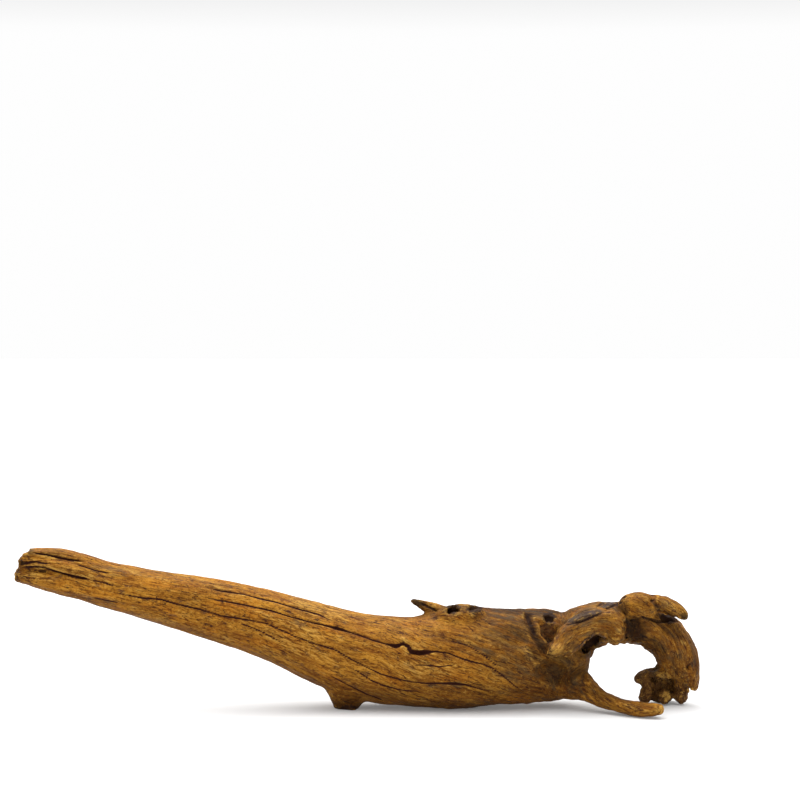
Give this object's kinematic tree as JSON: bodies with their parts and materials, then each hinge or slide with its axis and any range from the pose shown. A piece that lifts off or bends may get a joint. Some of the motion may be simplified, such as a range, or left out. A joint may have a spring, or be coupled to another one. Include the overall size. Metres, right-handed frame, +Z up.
{
  "type": "driftwood log",
  "caption": "Weathered driftwood log with a split end, a foot stub, an arched limb, a broken stub, a worn prong and a gnarled root knot, lying on a flat surface.",
  "frame": {"origin": "on the resting surface, under the middle of the log's bounding box", "axes": "+X runs along the log from its split end to its arched end, +Y from front to back, +Z up"},
  "size_m": [0.3986, 0.0696, 0.0942],
  "materials": {
    "ochre_wood": "dry ochre weathered wood with long dark cracks",
    "worn_wood": "worn orange-brown wood with dark patches, faintly polished",
    "root_wood": "rough dark brown root wood"
  },
  "bodies": {
    "root": {"trunk": "ochre_wood", "broken_stub": "worn_wood", "upper_limb": "worn_wood", "lower_prong": "worn_wood", "root_knot": "root_wood"}
  },
  "joints": []
}
